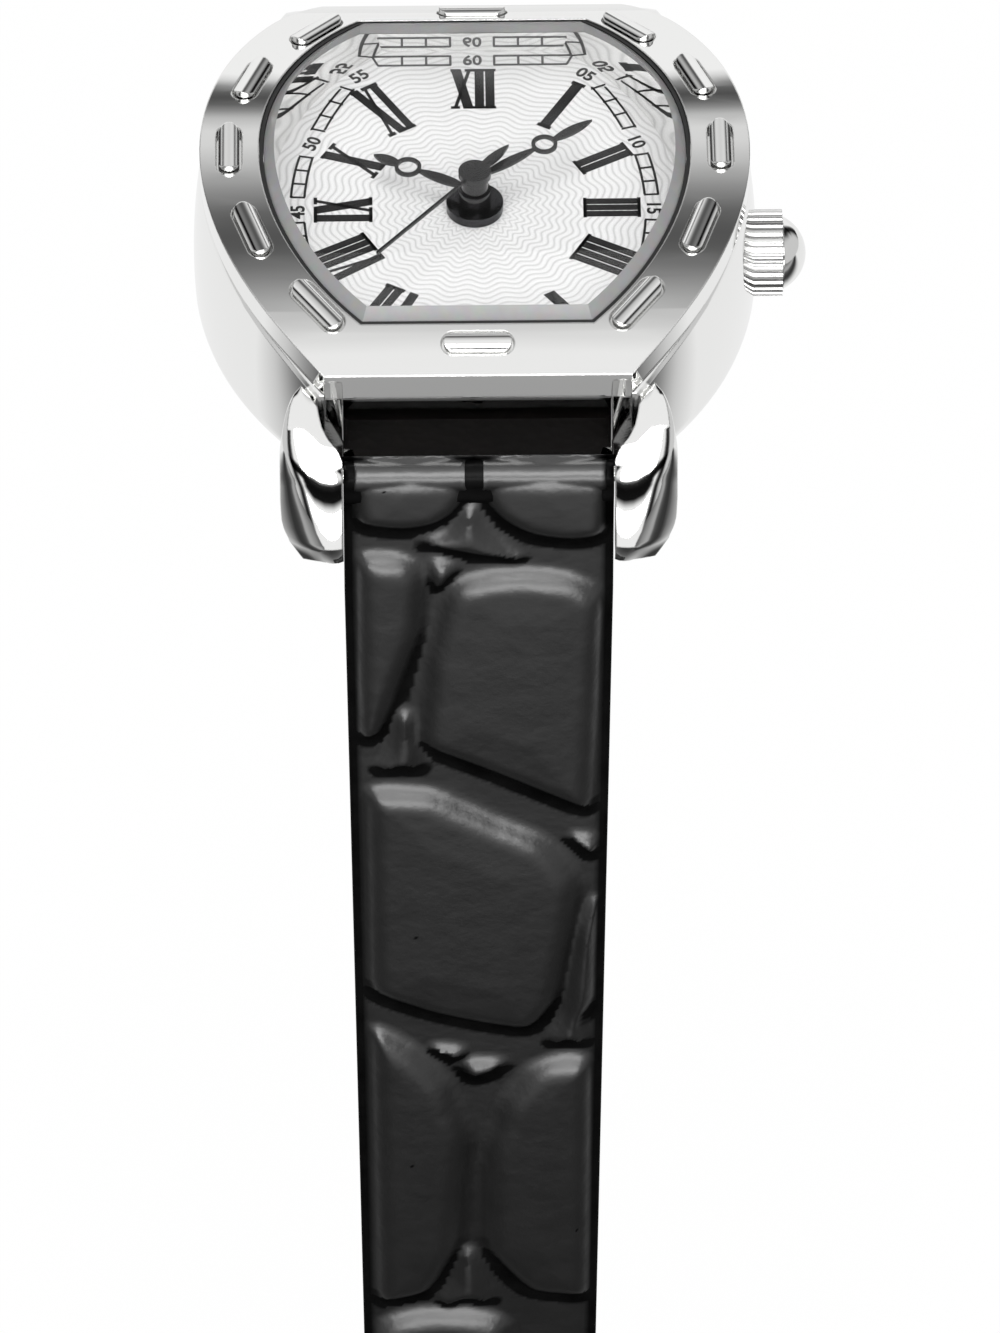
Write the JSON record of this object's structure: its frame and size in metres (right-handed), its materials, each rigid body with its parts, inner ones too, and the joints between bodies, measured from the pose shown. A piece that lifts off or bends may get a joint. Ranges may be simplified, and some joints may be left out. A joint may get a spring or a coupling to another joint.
{
  "type": "quartz wristwatch",
  "caption": "Lady's wristwatch: curved tonneau case with a studded bezel, Roman dial, three hands, fluted crown and a two-part leather strap.",
  "frame": {"origin": "centre of the case back's outer face", "axes": "+Z out of the dial, +Y towards 12 o'clock, +X towards 3 o'clock and the crown"},
  "size_m": [0.0318, 0.0771, 0.1119],
  "materials": {
    "polished_steel": "mirror polished stainless steel",
    "spring_steel": "plain machined steel",
    "crystal_glass": "clear mineral glass with a ground edge",
    "gasket_rubber": "matt",
    "dial_silver": "silver white lacquer over wavy engine turning",
    "hand_black": "black lacquer",
    "holder_plastic": "moulded",
    "train_brass": "stamped",
    "coil_copper": "enamelled copper wire",
    "magnet_grey": "sintered magnet",
    "board_green": "circuit board",
    "chip_black": "resin blob",
    "strap_patent": "black patent leather, large embossed scales",
    "strap_lining": "smooth matt black lining leather"
  },
  "bodies": {
    "case": {"case_middle": "polished_steel", "bezel": "polished_steel", "bezel_studs": "polished_steel", "crystal": "crystal_glass", "crystal_gasket": "gasket_rubber", "rehaut": "polished_steel", "case_back": "polished_steel", "back_gasket": "gasket_rubber", "crown_tube": "polished_steel", "spring_bar_tubes": "spring_steel", "spring_bar_tips": "spring_steel", "dial": "dial_silver", "movement_holder": "holder_plastic", "main_plate": "holder_plastic", "train_bridge": "spring_steel", "bridge_screws": "spring_steel", "circuit_board": "board_green", "quartz_can": "spring_steel", "ic_chip": "chip_black", "coil_core": "spring_steel", "coil_winding": "coil_copper", "stator": "spring_steel", "battery": "spring_steel", "battery_strap": "spring_steel", "yoke": "spring_steel", "hub_washer": "polished_steel"},
    "seconds": {"fourth_wheel": "train_brass", "second_hand": "hand_black"},
    "rotor": {"rotor": "magnet_grey"},
    "fifth": {"fifth_wheel": "train_brass"},
    "third": {"third_wheel": "train_brass"},
    "minutes": {"center_wheel": "train_brass", "cannon_pinion": "spring_steel", "minute_hand": "hand_black"},
    "minute_wheel": {"minute_wheel": "train_brass"},
    "hours": {"hour_wheel": "train_brass", "hour_hand": "hand_black"},
    "clutch": {"clutch_wheel": "train_brass"},
    "crown": {"crown": "polished_steel", "crown_cap": "polished_steel", "stem": "spring_steel", "crown_gasket": "gasket_rubber"},
    "setting_lever": {"setting_lever": "spring_steel"},
    "strap_long": {"strap_long_leather": "strap_patent", "strap_long_lining": "strap_lining"},
    "strap_short": {"strap_short_leather": "strap_patent", "strap_short_lining": "strap_lining", "keeper_fixed": "strap_patent"},
    "keeper_loose": {"keeper_loose": "strap_patent"},
    "buckle": {"buckle_frame": "polished_steel", "buckle_bar": "spring_steel"},
    "tongue": {"buckle_tongue": "polished_steel"}
  },
  "joints": [
    {"name": "seconds_turn", "type": "hinge", "parent": "case", "child": "seconds", "pos_m": [0, 0, 0.004], "axis": [0, 0, -1], "continuous": true},
    {"name": "rotor_turn", "type": "hinge", "parent": "case", "child": "rotor", "pos_m": [-0.00364, -0.00245, 0.003], "axis": [0, 0, -1], "continuous": true},
    {"name": "fifth_turn", "type": "hinge", "parent": "case", "child": "fifth", "pos_m": [-0.00227, -0.00083, 0.003], "axis": [0, 0, -1], "continuous": true},
    {"name": "third_turn", "type": "hinge", "parent": "case", "child": "third", "pos_m": [-0.0013, 0.00279, 0.003], "axis": [0, 0, -1], "continuous": true},
    {"name": "minutes_turn", "type": "hinge", "parent": "case", "child": "minutes", "pos_m": [0, 0, 0.005], "axis": [0, 0, -1], "continuous": true},
    {"name": "minute_wheel_turn", "type": "hinge", "parent": "case", "child": "minute_wheel", "pos_m": [0.00175, -0.00101, 0.005], "axis": [0, 0, -1], "continuous": true},
    {"name": "hours_turn", "type": "hinge", "parent": "case", "child": "hours", "pos_m": [0, 0, 0.006], "axis": [0, 0, -1], "continuous": true},
    {"name": "crown_turn", "type": "hinge", "parent": "case", "child": "clutch", "pos_m": [0.0047, 0, 0.0031], "axis": [1, 0, 0], "continuous": true},
    {"name": "crown_pull", "type": "slide", "parent": "clutch", "child": "crown", "axis": [1, 0, 0], "range_m": [0, 0.001]},
    {"name": "lever_turn", "type": "hinge", "parent": "case", "child": "setting_lever", "pos_m": [0.0061, 0.0024, 0.0023], "axis": [0, 0, 1], "range_deg": [0, 29.4]},
    {"name": "strap_long_swing", "type": "hinge", "parent": "case", "child": "strap_long", "pos_m": [0, -0.0167, 0.0031], "axis": [-1, 0, 0], "range_deg": [-8, 95]},
    {"name": "strap_short_swing", "type": "hinge", "parent": "case", "child": "strap_short", "pos_m": [0, 0.0167, 0.0031], "axis": [1, 0, 0], "range_deg": [-46, 57]},
    {"name": "buckle_swing", "type": "hinge", "parent": "strap_short", "child": "buckle", "pos_m": [0, 0.05549, -0.04654], "axis": [1, 0, 0], "range_deg": [-32, 88]},
    {"name": "tongue_swing", "type": "hinge", "parent": "buckle", "child": "tongue", "pos_m": [0, 0.05549, -0.04654], "axis": [1, 0, 0], "range_deg": [0, 70]},
    {"name": "keeper_slide", "type": "slide", "parent": "strap_short", "child": "keeper_loose", "axis": [0, -0.6157, 0.788], "range_m": [-0.0035, 0.012]}
  ],
  "couplings": [
    {"joint": "rotor_turn", "follows": "seconds_turn", "ratio": 30},
    {"joint": "fifth_turn", "follows": "seconds_turn", "ratio": -5},
    {"joint": "third_turn", "follows": "seconds_turn", "ratio": -0.13333},
    {"joint": "minutes_turn", "follows": "seconds_turn", "ratio": 0.016667},
    {"joint": "minute_wheel_turn", "follows": "seconds_turn", "ratio": -0.0055556},
    {"joint": "hours_turn", "follows": "seconds_turn", "ratio": 0.0013889},
    {"joint": "lever_turn", "follows": "crown_pull", "rad_per_m": 512.07}
  ]
}
